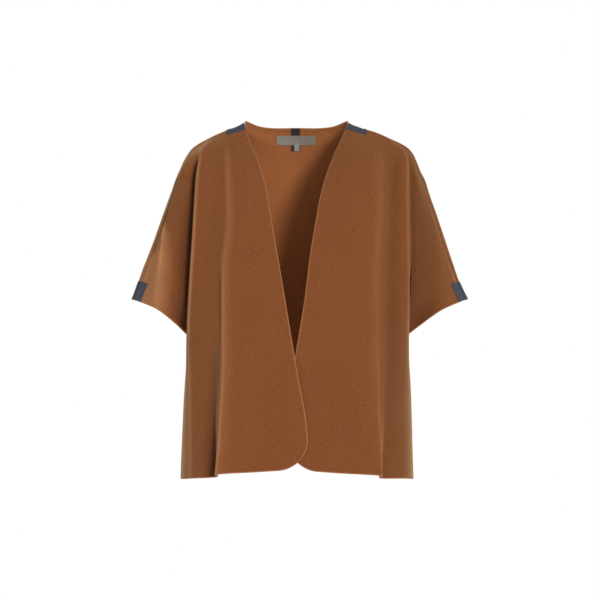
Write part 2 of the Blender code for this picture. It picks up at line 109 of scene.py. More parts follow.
# Lines down each front, as (up, forward, out) in millimetres. Each starts on the shoulder seam.
FRONT_LINES = {
    "right": {
        0: (
            (-34, 34, 88), (-67, 62, 73.5), (-116, 93, 58.4), (-192, 123, 45), (-295, 141, 27),
            (UNDERARM_UP, 148, 9.3), (-484, 151, -4.8), (-537, 152, -15), (-589, 153, -21),
            (-649, 154, -21.5),
        ),
        CHEST: (
            (-60, 62, 103), (-114, 94, 98), (-190, 122, 90), (-290, 137, 85),
            (UNDERARM_UP, 143, 77), (-540, 147, 69), (-655, 151, 73),
        ),
        RIDGE: (
            (-60, 56, 133), (-116, 88, 131), (-190, 114, 130), (-265, 126, 137.5),
            (UNDERARM_UP, 134, 138), (-484, 138, 138.8), (-540, 142, 142), (-598, 146, 145),
            (-660, 150, 151),
        ),
        DIP: (
            (-60, 48, 156), (-114, 77, 156), (-190, 98, 156), (-265, 109, 157),
            (UNDERARM_UP, 117, 156), (-540, 120, 154), (-665, 124, 149),
        ),
        FOLD: (
            (-50, 36, 178), (-87, 58, 186), (-151, 80, 191), (-214, 88, 194.5), (-290, 88, 199.5),
            (UNDERARM_UP, 76, 203.5), (-540, 78, 201), (-669, 90, 200),
        ),
        SEAM: (
            (-60, 34, 188), (-86, 45, 188), (-150, 43, 186), (-213, 38, 188), (-290, 30, 192),
            (UNDERARM_UP, 12, 202.5), (-480, 8, 209), (-540, 6, 212.5), (-672, 4, 218),
        ),
        SLEEVE: (
            (-60, 15, 203), (-88, 19, 216), (-145, 24, 235.5), (-209, 33, 251), (-277, 41, 257),
            (-351, 46, 263),
        ),
    },
    "left": {
        0: (
            (-31, 32, 83), (-66, 60, 67.5), (-97, 81, 56), (-140, 102, 44), (-182, 116, 36.3),
            (-248, 130, 25.3), (-329, 138, 15.2), (UNDERARM_UP, 141, 3.5), (-440, 142, -2.9),
            (-530, 144, -12), (-589, 146, -15.2), (-650.5, 147, -16),
        ),
        CHEST: (
            (-60, 62, 104), (-114, 94, 101), (-190, 120, 97), (-290, 134, 87),
            (UNDERARM_UP, 139, 77), (-540, 142, 71), (-657, 146, 74),
        ),
        RIDGE: (
            (-62, 46, 160), (-114, 82, 159), (-171, 105, 159), (-218, 114, 154.5),
            (-313, 124, 152), (UNDERARM_UP, 129, 152), (-540, 136, 155), (-663, 144, 160),
        ),
        DIP: (
            (-62, 36, 182), (-114, 69, 180), (-171, 91, 179), (-218, 100, 177), (-313, 109, 173),
            (UNDERARM_UP, 114, 172), (-540, 120, 169), (-667, 130, 156),
        ),
        FOLD: (
            (-50, 24, 203), (-71, 42, 209), (-104, 58, 209.5), (-161, 76, 209.5), (-233, 85, 210.5),
            (-328, 84, 210.5), (UNDERARM_UP, 76, 208.5), (-540, 77, 205), (-669, 90, 202),
        ),
        SEAM: (
            (-60, 26, 209), (-104, 44, 211), (-161, 48, 209), (-233, 44, 206), (-328, 30, 205),
            (UNDERARM_UP, 12, 207.5), (-480, 8, 213.5), (-540, 6, 216), (-672, 4, 220),
        ),
        SLEEVE: (
            (-60, 14, 217), (-88, 18, 229), (-145, 25, 247), (-209, 34, 262), (-277, 41, 269),
            (-353, 46, 273),
        ),
    },
}

# The same down the back; forward is negative behind the shoulder line. The folds on the wearer's
# left lie a little farther out and shallower.
BACK_FOLD_SHIFT = {"right": (0, 0), "left": (6, 9)}  # (forward, out)
BACK_LINES = {
    SLEEVE_BACK: (
        (-60, -14, 208), (-88, -22, 219), (-145, -34, 240), (-209, -42, 256), (-277, -46, 264),
        (-346, -48, 268),
    ),
    FOLD_BACK: (
        (-60, -30, 197), (-104, -44, 197), (-161, -46, 196), (-233, -42, 196), (-310, -28, 198),
        (UNDERARM_UP, 12, 205),
    ),
    BLADE: (
        (-60, -38, 187), (-104, -62, 192), (-161, -80, 197), (-233, -88, 201), (-310, -84, 203),
        (UNDERARM_UP, -64, 203), (-540, -72, 199), (-667, -84, 197),
    ),
    DIP_BACK: (
        (-60, -54, 152), (-114, -84, 152), (-190, -100, 152), (-290, -104, 154),
        (UNDERARM_UP, -100, 156), (-540, -98, 154), (-661, -98, 148),
    ),
    RIDGE_BACK: (
        (-60, -64, 122), (-114, -94, 120), (-190, -114, 120), (-290, -120, 124),
        (UNDERARM_UP, -118, 128), (-540, -124, 134), (-655, -132, 140),
    ),
    NECK: (
        (-50, -72, 70), (-114, -104, 54), (-190, -120, 50), (-290, -122, 50),
        (UNDERARM_UP, -115, 50), (-540, -117, 52), (-643, -122, 54),
    ),
    CENTRE: (
        (-60, -88, 0), (-114, -106, 0), (-190, -117, 0), (-290, -118, 0),
        (UNDERARM_UP, -110, 0), (-540, -108, 0), (-638, -112, 0),
    ),
}

# The armhole fold turns under its own edge, into a deep crevice beside the sleeve. These are the
# columns beside the edge, as (forward, out) from it.
FOLD_SHAPE = {
    "right": {FOLD - FINE: (4, -13), FOLD + FINE // 3: (-5, 1.5), FOLD + FINE: (-22, -1),
              SEAM: (-48, 0), SEAM + FINE: (-31, 10)},
    "left": {FOLD - FINE: (3, -13), FOLD + FINE // 3: (-5, 1.2), FOLD + FINE: (-13, 1.5),
             SEAM: (-19, 6), SEAM + FINE: (-16, 17)},
}
FOLD_ROWS = {  # where that shape starts, holds and ends
    "right": (2.2 * FINE, 5.0 * FINE, 13.4 * FINE, 15.95 * FINE),
    "left": (2.0 * FINE, 6.0 * FINE, 12.5 * FINE, 15.8 * FINE),
}

# Soft creases laid over that form. Each line is its half width before and after it in columns, then
# (row, column, rise in millimetres) down its course. Columns and rows count those of the solids.
CREASES = {
    "right": (
        (0.5, 0.5, (0, 7, 0), (4, 7, 0.8), (9, 7, 0.8), (12, 7, 1.6), (24, 7, 2.4)),
        (0.9, 1.6, (11, 8.1, 0), (13, 8.1, -2.0), (18, 8.3, -4.5), (24, 8.6, -7)),
        (1.0, 1.2, (4.5, 18.8, 0), (7, 18.4, 3), (12, 17.9, 3.5), (15.8, 17.6, 2)),
        (1.2, 1.6, (3, 30.2, 0), (8, 30, -2.4), (14, 29.6, -1.8), (17, 29.4, 0)),
        (2.6, 2.2, (10, 36.0, 0), (15, 36.6, 3.0), (24, 37.2, 4.5)),
        (1.0, 1.0, (4, 22.4, 0), (8, 22.4, 2.0), (15, 22.8, 1.6)),
    ),
    "left": (
        (0.5, 0.6, (0, 7, 0), (4, 7, 0.8), (12, 7, 1.2), (18, 7, 1.6), (24, 7, 2.0)),
        (0.8, 1.2, (9, 8.0, 0), (12, 8.0, -1.4), (24, 8.0, -2.2)),
        (1.0, 1.2, (5.5, 18.6, 0), (8, 18.4, 1.5), (13, 18.2, 2), (15.8, 18, 1)),
        (1.2, 1.6, (4, 29.6, 0), (9, 29.4, -2.0), (16, 29, -1.6), (20, 29, 0)),
        (2.4, 2.6, (8, 37.8, 0), (14, 37, -2.6), (24, 36.2, -4.5)),
        (1.0, 1.0, (5, 22.4, 0), (9, 22.4, -1.8), (15.5, 22.6, -1.2)),
    ),
}
# Painted light and shade on the nap, as lines too: a painted highlight on a ridge, fold edge or
# shoulder (up to 1), and painted shade in a hollow, a crevice, under the back neck or down a side
# (down to -1).
PAINTED_LIGHT_LINES = {
    "right": (
        (5.0, 5.0, (0, 3.5, 0), (3, 3.5, -0.02), (24, 3.5, -0.02)),
        (1.5, 0.5, (1.5, 6.9, 0), (4, 6.9, 0.24), (9, 6.9, 0.24), (11, 7, 0.24), (24, 7.05, 0.18)),
        (0.3, 0.2, (11, 7.0, 0), (13, 7, 0.3), (17, 7, 0.35), (24, 7.05, 0.75)),
        (0.3, 0.7, (11.6, 7.35, 0), (12.7, 7.35, -0.6), (15, 7.4, -0.6), (18, 7.7, -0.6),
         (20, 7.9, 0)),
        (0.9, 2.1, (16, 8.0, 0), (18.6, 8.1, -0.55), (20.3, 8.4, -0.75), (22, 8.9, -0.95),
         (24, 9.2, -1)),
        (0.5, 0.2, (1.6, 12, 0), (3.5, 11.95, 0.65), (9, 11.95, 0.8), (15, 11.95, 1), (17, 12, 0.5),
         (24, 12, 0.35)),
        (2.4, 1.5, (2.2, 14.1, 0), (5, 14.3, -0.8), (9, 14.7, -1), (14, 14.8, -1), (15.6, 14.7, -1),
         (16, 14.5, -0.5)),
        (1.6, 1.5, (16, 12.6, 0), (18, 12.6, 0.08), (24, 12.6, 0.08)),
        (0.7, 1.8, (5.0, 17.8, 0), (6.3, 17.8, 1), (8.2, 17.8, 1), (9.4, 17.6, 0.6),
         (10.2, 17.4, 0)),
        (1.5, 0.7, (8.6, 17.8, 0), (9.8, 17.5, 0.95), (11.7, 17.2, 0.75), (13.5, 17.1, 0.45),
         (16, 17, 0.3)),
        (1.6, 1.8, (10.6, 18.0, 0), (11.9, 18.0, 0.5), (16, 17.8, 0.55)),
        (1.8, 2.0, (11, 19.8, 0), (12.2, 19.8, 0.6), (16, 19.6, 0.6)),
        (0.8, 0.8, (9.0, 19.5, 0), (9.8, 19.4, -0.5), (10.8, 19.4, -0.3), (11.8, 19.4, 0)),
        (0.5, 1.0, (8.5, 21, 0), (10, 21, 0.6), (12, 21, 0.45), (16, 21, 0.35)),
        (4.0, 3.5, (0, 16.5, 0.1), (1, 16.5, 0.25), (2.2, 16.5, 0.22), (4.5, 16.5, 0)),
        (6.0, 6.0, (0, 9, 0.1), (1.5, 9, 0.1), (3, 9, 0)),
        (12.0, 12.0, (0, 44, -0.16), (2.5, 44, -0.15), (4, 44, 0)),
    ),
    "left": (
        (12.0, 12.0, (0, 44, -0.16), (2.5, 44, -0.15), (4, 44, 0)),
        (5.0, 5.0, (0, 3.5, 0), (3, 3.5, -0.05), (24, 3.5, -0.05)),
        (1.2, 0.6, (1.5, 7, 0), (4, 7, 0.14), (12, 7, 0.13), (16, 7, 0.1), (24, 7, 0.02)),
        (0.25, 0.12, (14, 7.05, 0), (18, 7.05, 0.15), (22, 7.05, 0.4), (24, 7.05, 0.4)),
        (2.0, 2.6, (2, 9.6, 0), (5, 9.6, -0.38), (16, 9.6, -0.4), (24, 9.4, -0.28)),
        (1.5, 1.0, (16, 12.2, 0), (18, 12.2, -0.2), (24, 12.2, -0.2)),
        (0.35, 0.15, (0.8, 12, 0), (2, 11.95, 0.3), (15, 11.95, 0.3), (17, 12, 0.05), (24, 12, 0)),
        (2.4, 3.2, (1.5, 15.4, 0), (4, 15.4, -0.42), (13, 15.4, -0.52), (16, 15.4, -0.45)),
        (0.35, 0.3, (3, 19.8, 0), (5, 19.8, 0.5), (15, 19.8, 0.7), (16, 19.8, 0.3)),
    ),
}
UNEVEN = (0.9, 9.0)  # the cloth's own unevenness: height in mm, and how many humps in a metre

# Trimmings.
TAPE, TAPE_LIFT = 0.9 * MM, 0.15 * MM
SHOULDER_TAPE_LONG, SHOULDER_TAPE_FRONT, SHOULDER_TAPE_BACK = 37 * MM, 18 * MM, 15 * MM
CUFF_TAPE_LONG, CUFF_TAPE_FRONT, CUFF_TAPE_BACK = 38 * MM, 17 * MM, 15 * MM
NECK_TAPE_X, NECK_TAPE_Z = (-10.4 * MM, 6.8 * MM), (-48 * MM, -4.6 * MM)
TAPE_START = 0.4 * MM  # from the neck or cuff edge to a tape
NECK_TAPE_LIFT = 0.2 * MM
LABEL = 0.7 * MM
LABEL_LIFT = TAPE + 0.45 * MM  # over the neck tape
SIZE_TAB_LIFT = LABEL_LIFT + LABEL + 0.15 * MM
LABEL_X, LABEL_Z = (-38.2 * MM, 36.9 * MM), (-36.5 * MM, -18.3 * MM)
SIZE_TAB_X, SIZE_TAB_Z = (-4.2 * MM, 5.5 * MM), (-47.5 * MM, -32.0 * MM)
SHARP = math.radians(50)  # a tape's edges are rounded where they turn by more than this
RAY_REACH = 8 * MM  # how far above and below a point the cloth is looked for
STITCH_IN, LABEL_STITCH_IN = 2.0 * MM, 1.2 * MM  # from a tape's or the label's edge to its stitches
LAP_STITCH_IN = 5 * MM  # from a front's lapped edge to its stitches
STITCH_LIFT = 0.02 * MM
TAPE_STITCH = {"pitch": 2.2 * MM, "length": 1.7 * MM, "thickness": 0.35 * MM}
LAP_STITCH = {"pitch": 3.4 * MM, "length": 2.4 * MM, "thickness": 0.4 * MM}

# The photo's view, and the light: azimuth to the right of straight in front, both in degrees.
VIEW_FROM = (0.00665, -10.0, -0.3325)
VIEW_ACROSS = 1.14  # metres seen at the shoulders
LAMPS = (
    # name, azimuth, elevation, strength, angle across
    ("key", 17, 5, 1.88, 12),
    ("front fill", 3, 3, 0.42, 35),
    ("back fill", 200, 25, 1.3, 25),
)
SKY_SEEN, SKY_LIGHT = (1, 1, 1, 1), (1, 0.985, 0.97, 1)
SKY_STRENGTH = 0.45
FLOOR_UP, FLOOR_RADIUS = -1.45, 9

# Colours, from dark to light where there are two.
FLEECE_OUTSIDE = ((0.130, 0.0388, 0.0113, 1), (0.244, 0.0808, 0.0263, 1))
# The inside face is painted lighter than the outside, as painted light on the inner back.
FLEECE_INSIDE_PAINTED_LIGHTER = ((0.270, 0.088, 0.028, 1), (0.400, 0.140, 0.046, 1))
FLEECE_PATCH = (0.220, 0.079, 0.0285, 1)
# The painted highlight and the painted shade that the painted light lines mix into the cloth.
FLEECE_PAINTED_HIGHLIGHT, FLEECE_PAINTED_SHADE = (0.44, 0.20, 0.092, 1), (0.050, 0.015, 0.0055, 1)
FLEECE_CUT = (0.40, 0.165, 0.066, 1)
FLEECE_SHEEN = {
    "Sheen Weight": 0.42, "Sheen Roughness": 0.5, "Sheen Tint": (1.0, 0.62, 0.3, 1),
}
CUT_EDGE_FADE = (0.9 * MM, 2.0 * MM)  # how far in from a cut edge it stays lighter
SLATE_TAPE = ((0.024, 0.028, 0.037, 1), (0.084, 0.095, 0.122, 1))
# The neck tape is the slate tape painted darker, as painted shade.
SLATE_TAPE_PAINTED_SHADE = ((0.012, 0.011, 0.013, 1), (0.040, 0.036, 0.042, 1))
GREY_SATIN = ((0.145, 0.124, 0.102, 1), (0.260, 0.228, 0.192, 1))
WHITE_SATIN = ((0.20, 0.20, 0.19, 1), (0.34, 0.335, 0.325, 1))
CAMEL_THREAD, SLATE_THREAD = (0.23, 0.088, 0.032, 1), (0.075, 0.075, 0.092, 1)
GREY_THREAD = (0.24, 0.215, 0.185, 1)

SIDES = {"right": -1, "left": 1}
PANELS = {"back": "back", "right": "front_right", "left": "front_left"}


# ---------------------------------------------------------------- curves

def place(side, up, forward, out):
    """A point given in millimetres up, forward and out from the middle."""
    return Vector((SIDES[side] * out, -forward, up)) * MM


def smoothstep(low, high, x):
    """0 up to low, 1 from high on, and eased between them."""
    t = min(1.0, max(0.0, (x - low) / (high - low)))
    return t * t * (3 - 2 * t)


def spline_point(p0, p1, p2, p3, share):
    """A point on the centripetal Catmull-Rom curve from p1 to p2."""
    knots = [0.0]
    for a, b in ((p0, p1), (p1, p2), (p2, p3)):
        knots.append(knots[-1] + max((b - a).length, 1e-7) ** 0.5)
    t0, t1, t2, t3 = knots
    t = t1 + share * (t2 - t1)

    def mix(a, b, ta, tb):
        return a * ((tb - t) / (tb - ta)) + b * ((t - ta) / (tb - ta))

    a1, a2, a3 = mix(p0, p1, t0, t1), mix(p1, p2, t1, t2), mix(p2, p3, t2, t3)
    return mix(mix(a1, a2, t0, t2), mix(a2, a3, t1, t3), t1, t2)


def smooth_line(points, before=None, after=None, steps=LINE_STEPS):
    """A dense smooth line through the points, with the place in it of each point."""
    before = before or points[0] * 2 - points[1]
    after = after or points[-1] * 2 - points[-2]
    full = [before, *points, after]
    line = []
    for i in range(1, len(full) - 2):
        line += [spline_point(*full[i - 1:i + 3], k / steps) for k in range(steps)]
    return line + [points[-1]], [i * steps for i in range(len(points))]


def lengths_along(points):
    """How far along their line each of the points lies."""
    found = [0.0]
    for a, b in zip(points, points[1:]):
        found.append(found[-1] + (b - a).length)
    return found


def spaced(line, shares):
    """Points along a dense line at the given shares of its length."""
    lengths = lengths_along(line)
    found = []
    k = 0
    for share in shares:
        want = share * lengths[-1]
        while k < len(line) - 2 and lengths[k + 1] < want:
            k += 1
        span = lengths[k + 1] - lengths[k]
        found.append(line[k].lerp(line[k + 1], min(1.0, (want - lengths[k]) / span)))
    return found


# ---------------------------------------------------------------- the ring of cloth

def seam_shares(side):
    """Where each column from the neck point to the overarm crosses the shoulder seam."""
    armhole, sleeve = ARMHOLE_TOP[side], SLEEVE_TOP[side]
    shares = [armhole * c / SEAM for c in range(SEAM)]
    across = OVERARM - SEAM
    return shares + [armhole + (sleeve - armhole) * c / across for c in range(across + 1)]


def shoulder_seam(side):
    """A dense line down the shoulder and overarm seam."""
    column = 2 if side == "right" else 3
    knots = [place(side, row[0], row[1], row[column]) for row in SHOULDER_SEAM]
    return smooth_line(knots)[0]


def upper_shares():
    """How far down to the underarm each row lies, as shares."""
    return [(j / UNDERARM) ** ROW_EASE for j in range(UNDERARM + 1)]


def drop(side, top, rows):
    """One column's points: from its top, down through the table's rows, to the underarm and hem."""
    knots = [top] + [place(side, *row) for row in rows]
    behind = 2 * top - knots[1]
    behind.x = knots[1].x
    behind.z = knots[1].z + CREST * (behind.z - knots[1].z)
    line, at = smooth_line(knots, before=behind)
    levels = [row[0] for row in rows]
    if UNDERARM_UP not in levels:
        return spaced(line, upper_shares())
    turn = at[1 + levels.index(UNDERARM_UP)]
    upper = spaced(line[:turn + 1], upper_shares())
    if turn == at[-1]:
        return upper
    lower = spaced(line[turn:], [j / (HEM - UNDERARM) for j in range(HEM - UNDERARM + 1)])
    return upper + lower[1:]


def rolled_edge(row):
    """How far out and back the sleeve's edge rolls past its seam at a row."""
    for (a, out_a, back_a), (b, out_b, back_b) in zip(ROLL, ROLL[1:]):
        if row <= b:
            share = smoothstep(a, b, row)
            return out_a + (out_b - out_a) * share, back_a + (back_b - back_a) * share


def ring_lines(side):
    """Every named line of the half ring, as {column: points by row}."""
    seam = shoulder_seam(side)
    shares = seam_shares(side)
    tops = spaced(seam, shares)
    lines = {}
    for column, rows in FRONT_LINES[side].items():
        lines[column] = drop(side, tops[column], rows)
    start = shares[-1]
    lines[OVERARM] = spaced(seam, [start + (1 - start) * share for share in upper_shares()])
    for column, rows in BACK_LINES.items():
        if column <= NECK:
            top = tops[2 * OVERARM - column]
        else:
            top = place(side, *NECKLINE[-1])
        if column in (DIP_BACK, RIDGE_BACK):
            forward, out = BACK_FOLD_SHIFT[side]
            rows = [(row[0], row[1] + forward, row[2] + out) for row in rows]
        lines[column] = drop(side, top, rows)
    edge = lines[OVERARM]
    lines[OVERARM - FINE] = [p.lerp(q, EDGE_SHARE) for p, q in zip(edge, lines[SLEEVE])]
    lines[OVERARM + FINE] = []
    for row, (p, q) in enumerate(zip(edge, lines[SLEEVE_BACK])):
        out, back = rolled_edge(row)
        rolled = p + Vector((SIDES[side] * out, back, 0)) * MM
        rolled = p.lerp(q, EDGE_SHARE).lerp(rolled, smoothstep(FINE, 5 * FINE, row))
        lines[OVERARM + FINE].append(rolled)
    return lines, tops


def across(guides, columns, far):
    """Points at the columns of one row, on a smooth curve through that row's guide points."""
    order = sorted(guides)
    points = [guides[c] for c in order]
    full = [points[0] * 2 - points[1], *points, far]
    found = {}
    for i, (start, end) in enumerate(zip(order, order[1:])):
        for c in range(start, end + 1):
            found[c] = spline_point(*full[i:i + 4], (c - start) / (end - start))
    return {c: found[c] for c in columns}


def sleeve_row(side, row, guides, far):
    """One row over the chest, the armhole fold and the sleeve, as {column: point}."""
    columns = range(CENTRE + 1)
    found = across(guides, columns, far)
    start, full, fade, end = FOLD_ROWS[side]
    share = smoothstep(start, full, row) * (1 - smoothstep(fade, end, row))
    for c, (forward, out) in FOLD_SHAPE[side].items():
        turned = guides[FOLD] + Vector((SIDES[side] * out, -forward, 0)) * MM
        guides[c] = found[c].lerp(turned, share)
    return across(guides, columns, far)


def body_row(row, guides, far):
    """One row round the body alone, closed beside the sleeve, as {column: point}."""
    body = [c for c in range(CENTRE + 1) if c <= SEAM or c >= FOLD_BACK]
    kept = {c: p for c, p in guides.items() if c in body}
    if row >= UNDERARM:
        kept.pop(FOLD_BACK, None)
    return across(kept, body, far)


def follow_neckline(side, points):
    """Moves the back's top rows to follow the back neckline."""
    knots = [points[0, 0]] + [place(side, *row) for row in NECKLINE]
    beyond = place(side, *NECKLINE[-2]) * Vector((-1, 1, 1))
    neckline = smooth_line(knots, after=beyond)[0]
    steps = CENTRE - NECK
    for c, p in enumerate(spaced(neckline, [c / steps for c in range(steps + 1)])):
        shift = p - points[0, NECK + c]
        for row in range(NECK_EASE):
            points[row, NECK + c] += shift * (1 - smoothstep(0, NECK_EASE, row))


def half_ring(side):
    """{(row, column): point} for one side, from the front edge to the centre back."""
    lines, tops = ring_lines(side)
    points = {}
    for row in range(HEM + 1):
        guides = {c: line[row] for c, line in lines.items() if row < len(line)}
        far = guides[NECK] * Vector((-1, 1, 1))
        found = sleeve_row(side, row, dict(guides), far) if row <= UNDERARM else {}
        blend = smoothstep(*CLOSING, row)
        for c, p in body_row(row, guides, far).items():
            found[c] = found[c].lerp(p, blend) if c in found else p
        points.update({(row, c): p for c, p in found.items()})
    points.update({(0, c): top for c, top in enumerate(tops)})
    follow_neckline(side, points)
    round_corner(points)
    return points


def round_corner(points):
    """Rounds the front's lower corner: a square patch of the cloth is eased into a quarter disc."""
    corner = points[HEM, 0].copy()
    inwards = (points[HEM, CHEST] - corner).normalized()
    upwards = (points[HEM - FINE, 0] - corner).normalized()
    for (row, c), p in list(points.items()):
        if c > CHEST or row <= UNDERARM:
            continue
        a, b = (p - corner).dot(inwards), (p - corner).dot(upwards)
        if a < CORNER and b < CORNER:
            u, v = max(1 - a / CORNER, 0.0), max(1 - b / CORNER, 0.0)
            shift_in = (u - u * math.sqrt(1 - v * v / 2)) * CORNER
            shift_up = (v - v * math.sqrt(1 - u * u / 2)) * CORNER
            points[row, c] = p + inwards * shift_in + upwards * shift_up


def key_of(side, row, c):
    """The one name of a ring point: seam columns and the centre back are shared."""
    if row == 0 and OVERARM < c <= 2 * OVERARM:
        c = 2 * OVERARM - c
    if row >= UNDERARM and c == FOLD_BACK:
        c = SEAM
    if c == CENTRE:
        side = "centre"
    return side, row, c


def in_ring(row, c):
    """Whether the ring has a face whose first corner this is."""
    return not (row >= UNDERARM and SEAM <= c < FOLD_BACK)


class Ring:
    """The cloth's middle surface: its vertices by key, and its faces by (side, row, column)."""

    def __init__(self):
        self.bm = bmesh.new()
        self.verts, self.faces, self.keys = {}, {}, {}
        for side in SIDES:
            for (row, c), p in half_ring(side).items():
                key = key_of(side, row, c)
                if key not in self.verts and (row <= UNDERARM or c <= SEAM or c > FOLD_BACK):
                    self.verts[key] = self.bm.verts.new(p)
        for side, sign in SIDES.items():
            for row in range(HEM):
                for c in range(CENTRE):
                    if in_ring(row, c):
                        corners = ((row, c), (row, c + 1), (row + 1, c + 1), (row + 1, c))
                        quad = [self.verts[key_of(side, *corner)] for corner in corners]
                        quad = quad[::-1] if sign > 0 else quad
                        self.faces[side, row, c] = self.bm.faces.new(quad)
        self.bm.normal_update()
        self.crease()
        self.bm.normal_update()

    def crease(self):
        """Lays the creases and the cloth's own unevenness over the form, and finds the painted
        light and shade at each point.
        """
        height, humps = UNEVEN
        self.painted_light_at = {}
        for (side, row, c), vert in self.verts.items():
            side = "right" if side == "centre" else side
            # painted highlight and painted shade, from -1 to 1
            self.painted_light_at[vert] = max(-1.0, min(1.0, rise_at(PAINTED_LIGHT_LINES[side], row, c)))
            lift = height * noise.noise(vert.co * humps)
            push = rise_at(CREASES[side], row, c)
            front = -1 if c <= OVERARM else 1
            fade = smoothstep(0, 3 * FINE, row) * MM
            vert.co += (vert.normal * lift + Vector((0, front * push, 0))) * fade

    def vert(self, side, row, c):
        return self.verts[key_of(side, row, c)]

    def along(self, side, row, columns):
        """The vertices of one row, in the order of the columns."""
        return [self.vert(side, row, c) for c in columns]

    def down(self, side, rows, c):
        """The vertices of one column, in the order of the rows."""
        return [self.vert(side, row, c) for row in rows]


def rise_at(lines, row, c):
    """What one side's soft lines add up to at a point of the ring."""
    return sum(line_rise(line, row / FINE, c / FINE) for line in lines)


def line_rise(line, row, c):
    """How high one soft line stands at a point: eased down its course and across its width."""
    before, after, *course = line
    if not course[0][0] <= row <= course[-1][0]:
        return 0.0
    for (row_a, c_a, rise_a), (row_b, c_b, rise_b) in zip(course, course[1:]):
        if row <= row_b:
            share = smoothstep(row_a, row_b, row)
            off = c - (c_a + (c_b - c_a) * (row - row_a) / (row_b - row_a))
            off /= before if off < 0 else after
            rise = rise_a + (rise_b - rise_a) * share
            return rise * math.cos(math.pi / 2 * off) ** 2 if abs(off) < 1 else 0.0
    return 0.0


# ---------------------------------------------------------------- shells

def panel_faces(ring, panel):
    """The faces of a panel, and those that run on under the next panel at a lapped seam."""
    if panel != "back":
        return {k for k in ring.faces if k[0] == panel and k[2] < OVERARM}, set()
    own = {k for k in ring.faces if k[2] >= OVERARM}
    under = set()
    for side, row, c in ring.faces:
        overarm = OVERARM - FINE <= c < OVERARM and row < UNDERARM
        side_seam = c == SEAM - 1 and row >= UNDERARM
        shoulder = row < SHOULDER_UNDER and FINE <= c < OVERARM
        if overarm or side_seam or shoulder:
            under.add((side, row, c))
    return own, under


def seam_tree(ring):
    """The points of the lapped seams, to measure distances from."""
    verts = []
    for side in SIDES:
        verts += ring.along(side, 0, range(OVERARM + 1))
        verts += ring.down(side, range(UNDERARM + 1), OVERARM)
        verts += ring.down(side, range(UNDERARM, HEM + 1), SEAM)
    return tree_of([v.co for v in verts])


def tree_of(spots):
    """The spots, to find the nearest one from anywhere."""
    tree = kdtree.KDTree(len(spots))
    for i, p in enumerate(spots):
        tree.insert(p, i)
    tree.balance()
    return tree


def outwards(vert, inside):
    """The way out of a panel across its edge, in the cloth's plane."""
    own = [f for f in vert.link_faces if f in inside]
    out = vert.co - sum((f.calc_center_median() for f in own), Vector()) / len(own)
    out -= vert.normal * out.dot(vert.normal)
    rim = [e.other_vert(vert).co for e in vert.link_edges
           if len([f for f in e.link_faces if f in inside]) == 1]
    if len(rim) > 1:
        along = (rim[0] - rim[-1]).normalized()
        out -= along * out.dot(along)
    return out.normalized()


def shell(ring, panel, seams, cloth_grid, material):
    """One panel of cloth: two faces and a rounded cut edge, with its UV map and edge distances."""
    own, under = panel_faces(ring, panel)
    faces = {ring.faces[k] for k in own | under}
    own_verts = {v for k in own for v in ring.faces[k].verts}
    rise = -LAP / 2 if panel == "back" else LAP / 2
    verts = list({v: None for k in sorted(own | under) for v in ring.faces[k].verts})
    rims = {v for v in verts
            if any(sum(f in faces for f in e.link_faces) == 1 for e in v.link_edges)}
    rim_tree = tree_of([v.co for v in rims])
    bm = bmesh.new()
    # the painted light and shade goes to the shader in a layer of its own
    layers = [bm.verts.layers.float.new(name) for name in ("cut_edge", "painted_light", "inside")]
    outer, inner, turns, source = {}, {}, {}, {}

    def add(p, far, vert, depth):
        made = bm.verts.new(p)
        for layer, value in zip(layers, (far, ring.painted_light_at[vert], depth)):
            made[layer] = value
        source[made] = vert
        return made

    for vert in verts:
        near_seam = 1.0
        if vert in own_verts:
            near_seam -= smoothstep(0, LAP_FADE, seams.find(vert.co)[2])
        normal = vert.normal
        middle = vert.co + normal * rise * near_seam
        far = min(FREE_EDGE, rim_tree.find(vert.co)[2])
        if vert in rims:
            out = outwards(vert, faces)
            middle -= out * (EDGE_ROUND + SEAM_GAP)
            turns[vert] = []
            for turn in RIM_TURNS:
                angle = math.pi * turn
                p = middle + normal * (math.cos(angle) * CLOTH / 2)
                turns[vert].append(add(p + out * (math.sin(angle) * EDGE_ROUND), 0.0, vert, turn))
        outer[vert] = add(middle + normal * CLOTH / 2, far, vert, 0.0)
        inner[vert] = add(middle - normal * CLOTH / 2, far, vert, 1.0)
    for face in faces:
        corners = list(face.verts)
        bm.faces.new([outer[v] for v in corners])
        bm.faces.new([inner[v] for v in reversed(corners)])
        for loop in face.loops:
            if sum(f in faces for f in loop.edge.link_faces) == 1:
                a, b = loop.vert, loop.link_loop_next.vert
                down_a = [outer[a], *turns[a], inner[a]]
                down_b = [outer[b], *turns[b], inner[b]]
                for k in range(len(down_a) - 1):
                    bm.faces.new((down_b[k], down_a[k], down_a[k + 1], down_b[k + 1]))
    uv = bm.loops.layers.uv.new("cloth")
    for face in bm.faces:
        for loop in face.loops:
            loop[uv].uv = cloth_grid[source[loop.vert], panel]
    return finish(PANELS[panel] + "_cloth", bm, material)


